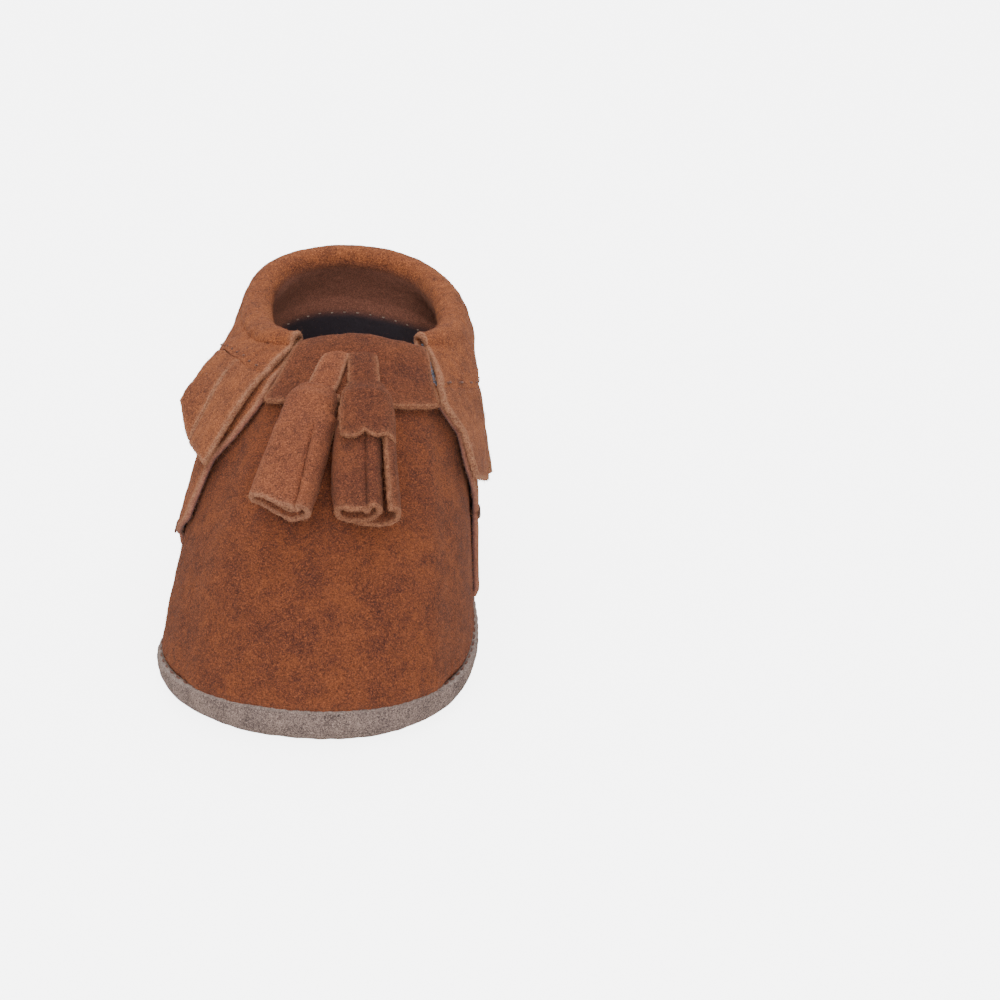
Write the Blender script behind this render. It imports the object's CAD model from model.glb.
import math
import bpy
import numpy as np
from math import pi
from mathutils import Vector, Matrix


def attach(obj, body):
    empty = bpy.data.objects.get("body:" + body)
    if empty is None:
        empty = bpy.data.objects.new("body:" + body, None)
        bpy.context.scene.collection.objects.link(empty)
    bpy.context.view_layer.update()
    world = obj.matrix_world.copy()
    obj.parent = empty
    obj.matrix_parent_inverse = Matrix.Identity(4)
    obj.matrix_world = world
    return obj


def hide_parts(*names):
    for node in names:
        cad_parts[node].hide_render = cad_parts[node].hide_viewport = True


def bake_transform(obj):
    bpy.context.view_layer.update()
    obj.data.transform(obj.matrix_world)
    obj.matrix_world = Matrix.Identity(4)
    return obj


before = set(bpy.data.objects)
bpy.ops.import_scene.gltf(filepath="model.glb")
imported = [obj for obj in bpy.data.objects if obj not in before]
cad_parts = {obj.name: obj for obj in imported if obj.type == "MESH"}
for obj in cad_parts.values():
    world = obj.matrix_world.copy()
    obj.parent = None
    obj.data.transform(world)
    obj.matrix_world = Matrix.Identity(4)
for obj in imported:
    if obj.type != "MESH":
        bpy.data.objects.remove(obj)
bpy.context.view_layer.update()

MM = 0.001
RNG = np.random.default_rng(7)

HIDE = 1.4                        # thickness of the quarter and vamp leather
ROLL_RADIUS = 3.3                 # outside of the rolled collar
ROLL_MID = ROLL_RADIUS - HIDE / 2
CASING_WIDTH = 10.5               # from the roll down to the stitch line
STITCH_PITCH = 3.2                # along the casing
SEAM_STITCHES = 104               # round the sole
STRIP_LENGTH = 19
FRINGE_LIFT = 2.3                 # middle of a strip above the wall
COLLAR_TURN = .2                  # share by which the collar's ends turn from the topline
RUN_STEP = .3                     # step of length down the wall


# ---------------------------------------------------------------------------
# the last: sixteen stations, counter-clockwise from the toe (0 toe, 4 right, 8 heel)
# ---------------------------------------------------------------------------
STATIONS = 16


def through(points):
    """Control points whose closed B-spline follows the given points."""
    points = np.array(points, float)
    return points - (np.roll(points, 1, 0) - 2 * points + np.roll(points, -1, 0)) / 6


# x, y of the sole outline
SOLE = through([
    (-2, -59), (11.5, -55.8), (23, -45.5), (28.2, -28), (28.5, -8), (27.5, 10),
    (26.5, 28), (20.5, 47), (4, 56.5), (-11, 49.5), (-18.5, 31), (-22.5, 12),
    (-29.5, -8), (-36.8, -27), (-31.8, -45), (-17.4, -56)])
# x, y, z of the topline
TOPLINE = through([
    (3.7, 3, 61), (10.2, 2.2, 60.2), (17.5, 2.5, 58.3), (22.6, 10.5, 56),
    (24.1, 22.5, 54.4), (22.9, 33.5, 54.2), (19.8, 43, 53.9), (14.1, 50, 54.6),
    (3.8, 53, 55.4), (-5.9, 50, 56), (-13.5, 43, 55.7), (-16.5, 33.5, 54.8),
    (-16.8, 22.5, 54.8), (-15, 10.5, 56.2), (-10.2, 2.5, 58.3), (-2.8, 2.2, 60.2)])
# exponent of the wall's rounding
FULLNESS = through([1.25, 1.22, 1.2, 1.14, 1.02, .92, .88, .85,
                    .8, .85, .95, 1.1, 1.25, 1.35, 1.35, 1.3])
# outward bulge of the wall
BULGE = through([0, 0, 0, -.3, -.3, .2, .9, 1.5, 1.6, 1.6, 1.2, .6, .2, -.3, -.3, 0])
# z of the sole seam
SEAM = through([7.8, 7.6, 6.7, 5.6, 5.2, 5.4, 5.8, 6.2, 6.4, 6.2, 5.8, 5.4, 5.2, 5.5, 6.6, 7.6])

# topline stations that bound the strips, from the right front edge round the heel
STRIP_EDGES = np.array([
    1.9, 2.41112, 3.11739, 3.90574, 4.7572, 5.67079, 6.59285, 7.42201, 8.16027,
    8.9139, 9.72534, 10.6496, 11.5419, 12.3066, 12.9814, 13.6749, 14.22])
QUARTER_START, QUARTER_END = STRIP_EDGES[0], STRIP_EDGES[-1]


def spline(controls, station):
    """Value of a closed cubic B-spline at a station."""
    count = len(controls)
    station = np.asarray(station, float) % count
    index = np.floor(station).astype(int)
    part = station - index
    if controls.ndim > 1:
        part = part[..., None]
    left = 1 - part
    return (controls[(index - 1) % count] * (left ** 3 / 6)
            + controls[index % count] * ((3 * part ** 3 - 6 * part ** 2 + 4) / 6)
            + controls[(index + 1) % count] * ((-3 * part ** 3 + 3 * part ** 2 + 3 * part + 1) / 6)
            + controls[(index + 2) % count] * (part ** 3 / 6))


def unit(vectors):
    return vectors / np.maximum(np.linalg.norm(vectors, axis=-1, keepdims=True), 1e-12)


def mix(start, end, part):
    return start + (end - start) * part


def ease(part):
    part = np.clip(part, 0, 1)
    return part * part * (3 - 2 * part)


def bell(value, width):
    return np.exp(-(value / width) ** 2)


def run_along(points, axis=0):
    """Running length along one axis of a line or grid of points."""
    steps = np.linalg.norm(np.diff(points, axis=axis), axis=-1)
    return np.insert(np.cumsum(steps, axis), 0, 0, axis)


def read_line(where, knots, points):
    return np.stack([np.interp(where, knots, column) for column in points.T], -1)


def sole_side(station):
    """Outward x, y direction of the sole outline."""
    step = unit(spline(SOLE, np.asarray(station) + .01) - spline(SOLE, np.asarray(station) - .01))
    return np.stack([step[..., 1], -step[..., 0]], -1)


def inset(station, distance):
    """x, y of the sole outline drawn inward."""
    return spline(SOLE, station) - sole_side(station) * np.asarray(distance)[..., None]


def wall(station, height):
    """Point on the last; height runs from 0 at the sole seam to 1 at the topline."""
    station, height = np.broadcast_arrays(np.asarray(station, float), np.asarray(height, float))
    height = np.clip(height, 0, 1)
    bottom, top, power, bulge, seam = (
        spline(line, station) for line in (SOLE, TOPLINE, FULLNESS, BULGE, SEAM))
    spread = np.clip(1 - height ** (2 / power), 0, 1) ** (power / 2)
    out = (bulge * np.sin(pi * height ** .7))[..., None]
    flat = top[..., :2] + (bottom - top[..., :2]) * spread[..., None] + sole_side(station) * out
    return np.concatenate([flat, (seam + (top[..., 2] - seam) * height)[..., None]], -1)


def wall_normal(station, height):
    station, height = np.broadcast_arrays(np.asarray(station, float), np.asarray(height, float))
    height = np.clip(height, .01, .985)
    return unit(np.cross(wall(station + .02, height) - wall(station - .02, height),
                         wall(station, height + .005) - wall(station, height - .005)))


def off_wall(station, height, out):
    normal = wall_normal(station, height)
    return wall(station, height) + normal * np.asarray(out, float)[..., None]


# ---------------------------------------------------------------------------
# the topline, the stitch line below it and the wall under that
# ---------------------------------------------------------------------------
def topline_dir(station):
    """Level direction along the topline, turned a little at the front ends."""
    def plain(place):
        step = spline(TOPLINE, place + .02) - spline(TOPLINE, place - .02)
        step[..., 2] = 0
        return unit(step)

    station = np.asarray(station, float)
    turn = np.where((station < 3.7) | (station > 12.4), COLLAR_TURN, 0)[..., None]
    return unit(mix(plain(station), plain(np.clip(station, 3.7, 12.4)), turn))


def topline_out(station):
    along = topline_dir(station)
    return np.stack([along[..., 1], -along[..., 0], 0 * along[..., 0]], -1)


def across(top_station, height):
    """Wall station in the plane that cuts the topline squarely at top_station."""
    top_station, height = np.broadcast_arrays(np.asarray(top_station, float),
                                              np.asarray(height, float))
    station = top_station + 3 * np.sin(pi / 8 * top_station) * (1 - height)
    top, along = spline(TOPLINE, top_station), topline_dir(top_station)
    for _ in range(6):
        gap = wall(station, height) - top
        slope = (wall(station + .02, height) - wall(station - .02, height)) / .04
        station = station - (gap * along).sum(-1) / (slope * along).sum(-1)
    return station


def stitch_heights(station):
    """Wall height, found by halving, that lies one casing width from the roll."""
    low, high = np.full_like(station, .6), np.full_like(station, .985)
    roll = spline(TOPLINE, station) + topline_out(station) * ROLL_MID
    width = CASING_WIDTH * np.interp(station, [10.7, 11.64, 12.43, 13.12, 13.73, 14.22],
                                     [1, .81, .63, .54, .63, .95])
    for _ in range(7):
        middle = (low + high) / 2
        point = off_wall(across(station, middle), middle, 1.5 + HIDE * .5)
        too_far = np.linalg.norm(point - roll, axis=-1) > width
        low, high = np.where(too_far, middle, low), np.where(too_far, high, middle)
    return (low + high) / 2


def walk_down():
    """Wall points and normals at each step of length below the stitch line."""
    height = STITCH_TABLE.copy()
    points, normals = [], []
    for _ in np.arange(0, 21.6, RUN_STEP):
        station = across(TOP_STATIONS, height)
        here = wall(station, height)
        points.append(here)
        normals.append(wall_normal(station, height))
        below = wall(across(TOP_STATIONS, height - .02), height - .02)
        slope = np.linalg.norm(below - here, axis=-1) / .02
        height = np.maximum(.04, height - RUN_STEP / slope)
    return np.stack(points, 1), np.stack(normals, 1)


TOP_STATIONS = np.linspace(1.8, 14.32, 620)
STITCH_TABLE = stitch_heights(TOP_STATIONS)
STITCH_TABLE = np.convolve(np.pad(STITCH_TABLE, 4, mode='edge'), np.ones(9) / 9, 'valid')
TABLE_ACROSS = across(TOP_STATIONS, STITCH_TABLE)
TABLE_OUT = 1.6 + HIDE / 2 + np.interp(TOP_STATIONS, [11, 11.64, 12.43, 13.12, 13.73, 14.22],
                                       [0, .9, 1.7, 1.7, .6, 0])
LINE_TABLE = off_wall(TABLE_ACROSS, STITCH_TABLE, TABLE_OUT)
NORMAL_TABLE = wall_normal(TABLE_ACROSS, STITCH_TABLE)
WALL_POINTS, WALL_NORMALS = walk_down()


def stitch_height(station):
    return np.interp(station, TOP_STATIONS, STITCH_TABLE)


def stitch_line(station):
    return read_line(station, TOP_STATIONS, LINE_TABLE)


def stitch_normal(station):
    return read_line(station, TOP_STATIONS, NORMAL_TABLE)


def read_wall(table, station, length):
    """Wall table read between its stations and its lengths."""
    row = (station - TOP_STATIONS[0]) / (TOP_STATIONS[1] - TOP_STATIONS[0])
    row = np.clip(row, 0, table.shape[0] - 1.001)
    col = np.clip(length / RUN_STEP, 0, table.shape[1] - 1.001)
    i, j = row.astype(int), col.astype(int)
    down, on = (row - i)[..., None], (col - j)[..., None]
    return ((table[i, j] * (1 - down) + table[i + 1, j] * down) * (1 - on)
            + (table[i, j + 1] * (1 - down) + table[i + 1, j + 1] * down) * on)


# ---------------------------------------------------------------------------
# noise, lines and grids
# ---------------------------------------------------------------------------
def lattice_value(x, y, z, seed):
    """Repeatable value, -1..1, for each whole lattice point."""
    mask = 0x7fffffff
    value = (x * 73856093) ^ (y * 19349663) ^ (z * 83492791) ^ (seed * 2654435761)
    value = (value ^ (value >> 13)) & mask
    value = (value * 1274126177) & mask
    value = (value ^ (value >> 16)) & mask
    value = (value * 668265263) & mask
    return (value & 0xffff) / 32767.5 - 1


def noise(points, size, seed):
    """Smooth noise, about -1..1, with patches of the given size in mm."""
    scaled = np.asarray(points, float) / size + seed * 3.71
    cell = np.floor(scaled)
    part = scaled - cell
    weight = part * part * part * (part * (part * 6 - 15) + 10)
    cell = cell.astype(np.int64)
    total = 0
    for corner in np.ndindex(2, 2, 2):
        share = np.where(corner, weight, 1 - weight)
        total = total + (share[..., 0] * share[..., 1] * share[..., 2]
                         * lattice_value(*np.moveaxis(cell + corner, -1, 0), seed))
    return total


def noise_at(x, y, z, size, seed):
    return noise(np.stack(np.broadcast_arrays(x, y, z), -1), size, seed)


def grid_normals(points, closed=False):
    if closed:
        step = np.roll(points, -1, 0) - np.roll(points, 1, 0)
    else:
        step = np.gradient(points, axis=0)
    return unit(np.cross(step, np.gradient(points, axis=1)))


def smooth_normals(normals, times):
    for _ in range(times):
        total = normals.copy()
        total[1:-1] += normals[:-2] + normals[2:]
        total[:, 1:-1] += normals[:, :-2] + normals[:, 2:]
        normals = unit(total)
    return normals


def soft_normals(points, times):
    return smooth_normals(grid_normals(points), times)


def pin_normals(normals, columns, value):
    """Set the first of three columns and lead the other two toward it."""
    normals[:, columns[0]] = value
    for column, share in zip(columns[1:], (.6, .3)):
        normals[:, column] = unit(mix(normals[:, column], normals[:, columns[0]], share))


def even_points(line, count):
    run = run_along(line)
    return read_line(np.linspace(0, run[-1], count), run, line)


def resample(rows, count):
    return np.stack([even_points(row, count) for row in rows])


def catmull(points, count):
    """Evenly spaced points on a smooth open curve through points."""
    points = np.asarray(points, float)
    padded = np.concatenate([[2 * points[0] - points[1]], points, [2 * points[-1] - points[-2]]])
    curve = []
    for i in range(len(points) - 1):
        before, start, end, after = padded[i:i + 4]
        for part in np.linspace(0, 1, 24, endpoint=False):
            curve.append(.5 * (2 * start + (end - before) * part
                               + (2 * before - 5 * start + 4 * end - after) * part * part
                               + (3 * start - before - 3 * end + after) * part ** 3))
    return even_points(np.array(curve + [points[-1]]), count)


def corners(grid):
    return grid[:-1, :-1], grid[1:, :-1], grid[1:, 1:], grid[:-1, 1:]


def grid_quads(index):
    return np.stack([corner.ravel() for corner in corners(index)], 1)


# ---------------------------------------------------------------------------
# mesh makers
# ---------------------------------------------------------------------------
PAINTED = []      # (object, material slot)
FLIP = [0, 3, 2, 1]
ALL_SIDES = "i0 i1 j0 j1"
EDGE_ROUND = .45  # reach of a rounded edge, in thicknesses
# section of a cut edge: reach outward, place through the thickness
RIM = [(.62, .86), (.9, .5), (1.0, 0.0), (.9, -.5), (.62, -.86)]


def build(name, verts, faces, slot, body=None, blend=None, replaces=None, sharp=60, **attributes):
    """Make a mesh object and record it; blend is (body, body, start, end) in mm."""
    mesh = bpy.data.meshes.new(name)
    mesh.from_pydata((np.asarray(verts) * MM).tolist(), [],
                     [list(map(int, face)) for face in faces])
    mesh.validate()
    mesh.polygons.foreach_set("use_smooth", np.ones(len(mesh.polygons), bool))
    layer = mesh.attributes.new("rest", "FLOAT_VECTOR", "POINT")
    layer.data.foreach_set("vector", np.asarray(verts, np.float32).ravel())
    for key, value in (dict(raw=0, edge=99, inner=0, hair=0) | attributes).items():
        layer = mesh.attributes.new(key, "FLOAT", "POINT")
        layer.data.foreach_set("value", np.full(len(verts), value, np.float32))
    mesh.set_sharp_from_angle(angle=math.radians(sharp))
    mesh.update()
    obj = bpy.data.objects.new(name, mesh)
    bpy.context.scene.collection.objects.link(obj)
    if body:
        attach(obj, body)
    PAINTED.append((obj, slot))
    if blend:
        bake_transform(obj)
    if replaces:
        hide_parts(replaces)


def fibres(bases, directions, lengths, radius):
    """Closed tapered hairs of seven points each."""
    count = len(bases)
    directions = unit(directions)
    side = unit(np.cross(directions, unit(RNG.normal(size=(count, 3)))))
    other = np.cross(directions, side)
    bend = (side * RNG.normal(size=(count, 1)) + other * RNG.normal(size=(count, 1))) * .28
    verts = np.zeros((count, 7, 3))
    first = np.arange(count)[:, None] * 7
    quads, tris = [], []
    for k in range(3):
        out = side * math.cos(2 * pi * k / 3) + other * math.sin(2 * pi * k / 3)
        verts[:, k] = bases + out * radius - directions * .06
        verts[:, 3 + k] = (bases + out * radius * .75
                           + (directions + bend * .35) * (lengths * .5)[:, None])
        after = (k + 1) % 3
        quads.append(first + np.array([k, after, 3 + after, 3 + k]))
        tris.append(first + np.array([3 + k, 3 + after, 6]))
    verts[:, 6] = bases + (directions + bend) * lengths[:, None]
    tris.append(first + np.array([2, 1, 0]))
    return verts.reshape(-1, 3), (np.concatenate(quads), np.concatenate(tris))


def rim_hairs(rim, rim_normals, middle, half, outward, bulge, grows, density, length):
    """Hairs along the cut edges, density per mm."""
    following = np.roll(np.arange(len(rim)), -1)
    steps = np.linalg.norm(rim[following] - rim, axis=1) * grows
    count = int(steps.sum() * density)
    picks = RNG.choice(len(rim), size=count, p=steps / steps.sum())
    part = RNG.random(count)[:, None]
    nexts = following[picks]
    depth = RNG.uniform(-1, 1, count)
    profile = np.sqrt(np.clip(1 - depth ** 2, 0, 1))
    bases = (middle[picks] * (1 - part) + middle[nexts] * part + half[picks] * depth[:, None]
             + outward[picks] * (bulge[picks] * profile * .8)[:, None])
    along = unit(rim[nexts] - rim[picks])
    directions = (outward[picks] * RNG.uniform(.25, 1, (count, 1))
                  + rim_normals[picks] * (depth * .9 + RNG.normal(size=count) * .35)[:, None]
                  + along * RNG.normal(size=(count, 1)) * .7)
    lengths = np.clip(length * np.exp(RNG.normal(size=count) * .45) * .8, .15, 1.8)
    return *fibres(bases, directions, lengths, radius=.03), dict(raw=.75, hair=1)


def nap_hairs(face, normals, inner, density):
    """Short hairs lying over one face, density per square mm."""
    grids = corners(face)
    areas = .5 * np.linalg.norm(np.cross(grids[2] - grids[0], grids[3] - grids[1]), axis=-1).ravel()
    count = int(areas.sum() * density * (1))
    picks = RNG.choice(len(areas), size=count, p=areas / areas.sum())
    down, on = RNG.random(count)[:, None], RNG.random(count)[:, None]
    near, below, far, beside = (grid.reshape(-1, 3)[picks] for grid in grids)
    bases = (near * (1 - down) + below * down) * (1 - on) + (beside * (1 - down) + far * down) * on
    lean = (unit(below - near) * RNG.normal(size=(count, 1))
            + unit(beside - near) * (RNG.normal(size=(count, 1)) + .5))
    upward = normals[:-1, :-1].reshape(-1, 3)[picks]
    directions = upward * RNG.uniform(.35, 1.0, (count, 1)) + lean * .75
    lengths = np.clip(.42 * np.exp(RNG.normal(size=count) * .35), .15, .9)
    hairs = fibres(bases, directions, lengths, radius=.022)
    return *hairs, dict(edge=99, inner=np.repeat(inner[:-1, :-1].ravel()[picks], 7),
                        hair=np.repeat(RNG.uniform(.0, .7, count), 7))


def sheet(name, mid, thickness, slot, square="", raw=ALL_SIDES, normals=None, nap=.10, jag=.15,
          fuzz=0, fuzz_length=.55, opened=None, inner=0, napped=0, nap_density=.9,
          extra=None, **record):
    """A piece of leather round a grid of middle points.

    Sides are i0, i1 (first, last row) and j0, j1 (first, last column).
    square: sides whose rim is not rounded; raw: cut sides, with fuzz hairs per mm.
    opened: grid that scales rounding and rawness; jag: unevenness of the rim.
    napped: 1 or -1 for hairs on the face along or against the normals.
    inner: inside shade of the face against the normals; extra: more attributes.
    """
    rows, cols = mid.shape[:2]
    if normals is None:
        normals = soft_normals(mid, 2)
    over = nap * (.55 * noise(mid, 2.3, 6) + .45 * noise(mid, 1.05, 10))
    under = nap * (.55 * noise(mid, 2.1, 4) + .45 * noise(mid, .95, 5))
    front = mid + normals * (thickness / 2 + over)[..., None]
    back = mid - normals * (thickness / 2 + under)[..., None]
    run_i, run_j = run_along(mid, 0), run_along(mid, 1)
    from_side = dict(i0=run_i, i1=run_i[-1:] - run_i, j0=run_j, j1=run_j[:, -1:] - run_j)
    edge = np.full((rows, cols), 99.)
    for side in raw.split():
        edge = np.minimum(edge, from_side[side])

    # the loop of grid points round the piece
    rim_i = np.r_[np.arange(rows - 1), np.full(cols - 1, rows - 1),
                  np.arange(rows - 1, 0, -1), np.zeros(cols - 1, int)]
    rim_j = np.r_[np.zeros(rows - 1, int), np.arange(cols - 1),
                  np.full(rows - 1, cols - 1), np.arange(cols - 1, 0, -1)]
    rim, rim_normals = mid[rim_i, rim_j], normals[rim_i, rim_j]
    rim_front, rim_back = front[rim_i, rim_j], back[rim_i, rim_j]
    count = len(rim)
    outward, reach, rim_raw = np.zeros_like(rim), np.zeros(count), np.zeros(count)
    for side, on_side, pointing, place in (
            ('i0', rim_i == 0, mid[0] - mid[1], rim_j),
            ('i1', rim_i == rows - 1, mid[-1] - mid[-2], rim_j),
            ('j0', rim_j == 0, mid[:, 0] - mid[:, 1], rim_i),
            ('j1', rim_j == cols - 1, mid[:, -1] - mid[:, -2], rim_i)):
        outward[on_side] += unit(pointing)[place[on_side]]
        if side not in square:
            reach[on_side] = 1
        if side in raw:
            rim_raw[on_side] = 1
    if opened is not None:
        reach = reach * opened[rim_i, rim_j]
        rim_raw = rim_raw * opened[rim_i, rim_j]
    outward = unit(outward)
    bulge = reach * EDGE_ROUND * thickness
    middle, half = (rim_front + rim_back) / 2, (rim_front - rim_back) / 2
    rims = []
    for out, depth in RIM:
        rough = (noise(rim + rim_normals * depth * 1.2, 1.2, 22)
                 + .8 * noise(rim + rim_normals * depth, .55, 23))
        uneven = 1 + jag * rough / EDGE_ROUND * .6
        rims.append(middle + half * depth + outward * (bulge * out * uneven)[:, None])
    verts = np.concatenate([front.reshape(-1, 3), back.reshape(-1, 3)] + rims)

    size = rows * cols
    quads = grid_quads(np.arange(size).reshape(rows, cols))
    faces = [quads, quads[:, FLIP] + size]
    on_front = rim_i * cols + rim_j
    loops = [on_front, *(2 * size + k * count + np.arange(count) for k in range(len(RIM))),
             on_front + size]
    for upper, lower in zip(loops[:-1], loops[1:]):
        faces.append(np.stack([np.roll(upper, -1), upper, lower, np.roll(lower, -1)], 1))
    faces = np.concatenate(faces).tolist()

    inner = np.broadcast_to(np.asarray(inner, float), (rows, cols))
    values = dict(
        raw=np.concatenate([np.zeros(2 * size)] + [rim_raw] * len(RIM)),
        edge=np.concatenate([edge.ravel()] * 2 + [np.where(rim_raw > .3, 0, 99.)] * len(RIM)),
        inner=np.concatenate([np.zeros(size), inner.ravel()]
                             + [inner[rim_i, rim_j] * (.5 - depth / 2) for _, depth in RIM]),
        hair=np.zeros(len(verts)))
    values["raw"][on_front] = values["raw"][on_front + size] = rim_raw * .5
    for key, grid in (extra or {}).items():
        values[key] = np.concatenate([grid.ravel()] * 2 + [grid[rim_i, rim_j]] * len(RIM))

    growths = []
    if fuzz:
        growths.append(rim_hairs(rim, rim_normals, middle, half, outward, bulge,
                                 (rim_raw > .3) & (reach > .15), fuzz, fuzz_length))
    if napped:
        growths.append(nap_hairs(front if napped > 0 else back, normals * napped,
                                 inner * (napped < 0), nap_density))
    for hair_verts, hair_faces, hair_values in growths:
        for part in hair_faces:
            faces += (part + len(verts)).tolist()
        verts = np.concatenate([verts, hair_verts])
        for key in values:
            added = np.full(len(hair_verts), hair_values.get(key, 0), float)
            values[key] = np.append(values[key], added)
    build(name, verts, faces, slot, sharp=50, **record, **values)


def join_rings(name, groups, slot, **record):
    """One mesh of lofts, each a row of closed rings with a fan at both ends."""
    verts, faces, first = [], [], 0
    for rings in groups:
        count, sides = rings.shape[:2]
        verts += [rings.reshape(-1, 3), rings[0].mean(0)[None], rings[-1].mean(0)[None]]
        index = first + np.arange(count * sides).reshape(count, sides)
        faces += grid_quads(np.concatenate([index, index[:, :1]], 1))[:, FLIP].tolist()
        start_hub = first + count * sides
        for j in range(sides):
            after = (j + 1) % sides
            faces.append((start_hub, index[0, after], index[0, j]))
            faces.append((start_hub + 1, index[-1, j], index[-1, after]))
        first += count * sides + 2
    build(name, np.concatenate(verts), faces, slot, "shoe", **record)


# ---------------------------------------------------------------------------
# outsole and insole pad
# ---------------------------------------------------------------------------
# Section from the middle of the bottom out, up, over the lip and down inside:
# inset from the outline, share of the lip height, z added
OUTSOLE_SECTION = np.array([
    (9.0, 0, 0), (6.0, 0, 0), (4.2, 0, .02), (3.0, 0, .12), (1.8, 0, .5),
    (.85, 0, 1.25), (.3, 0, 2.3), (0, 0, 3.5), (-.05, .8, 0), (.1, 1, -.5),
    (.45, 1, -.1), (.95, 1, .05), (1.4, 1, -.15), (1.6, 1, -.6), (1.65, .5, 2),
    (1.8, 0, 3.4), (2.6, 0, 2.3), (4.0, 0, 1.7), (7.0, 0, 1.6)])
# inset, z of the pad's rings from its underside up and over
PAD_RINGS = [(14, 1.75), (8, 1.72), (5.9, 1.75), (5.2, 2.1), (5.05, 2.6),
             (5.3, 3.1), (6.0, 3.28), (8, 3.3), (14, 3.3)]


def stitch_wave(station):
    """Wave with one period per stitch of the sole seam."""
    return np.sin(2 * pi * station / STATIONS * SEAM_STITCHES)


def make_outsole():
    count, per_row = 420, 84
    stations = np.arange(count) * STATIONS / count
    seam = spline(SEAM, stations)[:, None]
    insets, shares, lifts = OUTSOLE_SECTION.T
    heights = (seam - .1) * shares + lifts
    sections = np.stack([np.broadcast_to(insets, heights.shape), heights], -1)
    rows = np.stack([catmull(section, per_row) for section in sections])
    depth, z = rows[..., 0], rows[..., 1]
    points = np.concatenate([inset(stations[:, None], depth), rows[..., 1:]], -1)
    normals = smooth_normals(grid_normals(points, closed=True), 1)
    pucker = stitch_wave(stations)[:, None] * bell(z - seam, 2.2) * (depth < 1.2)
    rough = (.10 * noise(points, 9, 31) + .07 * noise(points, 2.4, 32)
             + .05 * noise(points, 1.1, 33) - .10 * pucker)
    points = points + normals * rough[..., None]
    points[..., 2] = np.where(z < .03, z, np.maximum(points[..., 2], 0.0))
    verts = points.reshape(-1, 3)
    index = np.arange(count * per_row).reshape(count, per_row)
    faces = grid_quads(np.concatenate([index, index[:1]])).tolist()
    # bottom and footbed: rings shrinking to a centre point
    for column, quad_order, fan_order in ((0, [0, 1, 2, 3], [0, 1, 2]),
                                          (per_row - 1, FLIP, [0, 2, 1])):
        border = points[:, column]
        centre = border[:, :2].mean(0)
        before = index[:, column]
        for scale in (.8, .6, .42, .26, .12):
            ring = border.copy()
            ring[:, :2] = centre + (border[:, :2] - centre) * scale
            after = len(verts) + np.arange(count)
            verts = np.concatenate([verts, ring])
            quads = np.stack([before, after, np.roll(after, -1), np.roll(before, -1)], 1)
            faces += quads[:, quad_order].tolist()
            before = after
        hub = np.full(count, len(verts))
        verts = np.concatenate([verts, [[*centre, border[:, 2].mean()]]])
        faces += np.stack([before, hub, np.roll(before, -1)], 1)[:, fan_order].tolist()
    lip = np.zeros(len(verts))
    lip[:count * per_row] = bell(z - seam, .7).ravel()
    build("vis_outsole", verts, faces, "suede_sole", "shoe", replaces="outsole", raw=lip * .6)


def make_pad():
    count = 200
    stations = np.arange(count) * STATIONS / count
    rings = []
    for distance, z in PAD_RINGS:
        ring = np.concatenate([inset(stations, distance), np.full((count, 1), z)], 1)
        ring[:, 2] += (z > 3) * .12 * noise(ring, 7, 41)
        rings.append(ring)
    join_rings("vis_insole_pad", [np.array(rings)], "footbed", replaces="insole_pad")


# ---------------------------------------------------------------------------
# vamp
# ---------------------------------------------------------------------------
def vamp_top(station):
    """Wall height of the vamp's upper edge, falling away toward both sides."""
    away = np.where(station < 0, -station, station - .1)
    height = np.interp(away, [1.45, 1.8, 2.35], [.972, .925, .88])
    return height + (.72 - .88) * ease((away - 2.35) / .9)


def seam_pinch(station, distance):
    """Leather drawn in at the sole seam, with stitch puckers."""
    return (-.55 * bell(distance, .8) - .13 * stitch_wave(station) * np.exp(-(distance / 3.2))
            + .12 * bell(distance - 2.2, 1.6))


def make_vamp():
    stations = np.linspace(-4.25, 4.35, 280)
    heights = np.linspace(0, 1, 400)[None, :] * vamp_top(stations)[:, None]
    stations = stations[:, None]
    sunk = -HIDE / 2 - .95 * ease((np.abs(stations) - 1.6) / .5)
    points = resample(off_wall(stations, heights, sunk), 120)
    normals = soft_normals(points, 3)
    bumps = (seam_pinch(stations, run_along(points, 1))
             + .22 * noise(points, 14, 11) + .12 * noise(points, 6, 12))
    points = points + normals * bumps[..., None]
    sheet("vis_vamp", points, HIDE, "suede_upper", body="shoe", square="j0", raw="i0 i1 j1",
          nap=.11, fuzz=4, fuzz_length=.4, inner=1.0, napped=1, nap_density=1.1, replaces="vamp")


# ---------------------------------------------------------------------------
# heel quarter: wall, rolled collar and cuff in one hide
# ---------------------------------------------------------------------------
def right_front(height):
    """Wall station of the quarter's front edge on the right side."""
    return np.interp(height, [0, .3, .42, .5, .6, .68, .8, .88, .93],
                     [4.1, 4, 3.8, 3.55, 3.1, 2.85, 2.6, 2.1, QUARTER_START])


def left_front(height):
    """Wall station of the quarter's front edge on the left side."""
    return np.interp(height, [0, .2, .35, .42, .5, .6, .7, .8, .88, .93],
                     [12, 12.1, 12.5, 12.9, 13.3, 13.4, 13.5, 13.9, 14.15, QUARTER_END])


def quarter_offset(drop):
    """Offset from the last; drop is 0 at the topline and 1 at the stitch line."""
    return np.where(drop < 1, mix(-ROLL_MID, .8, ease(drop) * .35 + .65 * drop),
                    mix(.8, .35, ease((drop - 1) / 1.2)))


def crease(distance):
    """Leather drawn in along the stitch line."""
    return -.42 * bell(distance, .75)


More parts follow.
